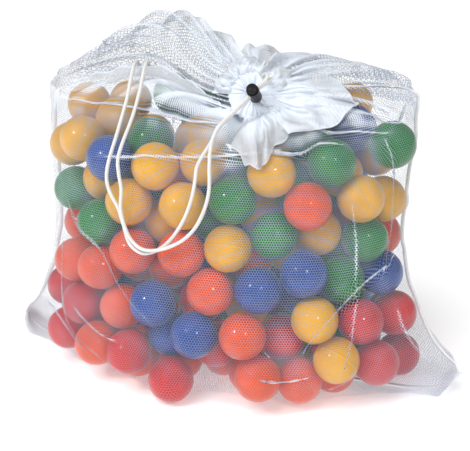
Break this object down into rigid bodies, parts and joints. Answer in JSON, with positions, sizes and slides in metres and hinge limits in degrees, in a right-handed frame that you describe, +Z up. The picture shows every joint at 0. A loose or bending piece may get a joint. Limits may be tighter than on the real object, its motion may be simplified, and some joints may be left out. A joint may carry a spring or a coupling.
{
  "type": "mesh laundry bag",
  "caption": "Drawstring net bag, pillow-shaped, standing full of hollow play balls, its mouth gathered by a braided cord and a spring cord lock.",
  "frame": {"origin": "on the floor under the middle of the filled bag", "axes": "+Z up; the drawn mouth and the hanging cord are at the front, which faces -Y; +X along the width, to the right as seen from the front"},
  "size_m": [0.6409, 0.362, 0.4768],
  "materials": {
    "net": "fine white hexagonal netting",
    "seam_thread": "overlocked white polyester seam",
    "cord": "braided white polyester cord",
    "lock_black": "moulded black plastic, fine sheen",
    "spring_steel": "drawn spring wire",
    "ball_red": "glossy blow-moulded plastic",
    "ball_orange": "glossy blow-moulded plastic",
    "ball_yellow": "glossy blow-moulded plastic",
    "ball_green": "glossy blow-moulded plastic",
    "ball_blue": "glossy blow-moulded plastic"
  },
  "bodies": {
    "root": {"front_panel": "net", "back_panel": "net", "left_side_seam": "seam_thread", "right_side_seam": "seam_thread", "bottom_seam": "seam_thread", "front_casing": "seam_thread", "back_casing": "seam_thread", "front_ruffle": "net", "back_ruffle": "net", "hem_fold": "net", "drawcord_neck_loop": "cord", "drawcord_outer_strand": "cord", "drawcord_inner_strand": "cord", "cord_end_knot": "cord", "balls_red": "ball_red", "balls_orange": "ball_orange", "balls_yellow": "ball_yellow", "balls_green": "ball_green", "balls_blue": "ball_blue"},
    "cord_lock": {"lock_barrel": "lock_black", "lock_spring": "spring_steel"},
    "plunger": {"lock_plunger": "lock_black"}
  },
  "joints": [
    {"name": "lock_slide", "type": "slide", "parent": "root", "child": "cord_lock", "axis": [-0.6428, -0.4059, -0.6496], "range_m": [0, 0.03]},
    {"name": "plunger_press", "type": "slide", "parent": "cord_lock", "child": "plunger", "axis": [0, 0.848, -0.5299], "range_m": [0, 0.004], "stiffness_N_per_m": 1500, "deforming": ["lock_spring"]}
  ]
}
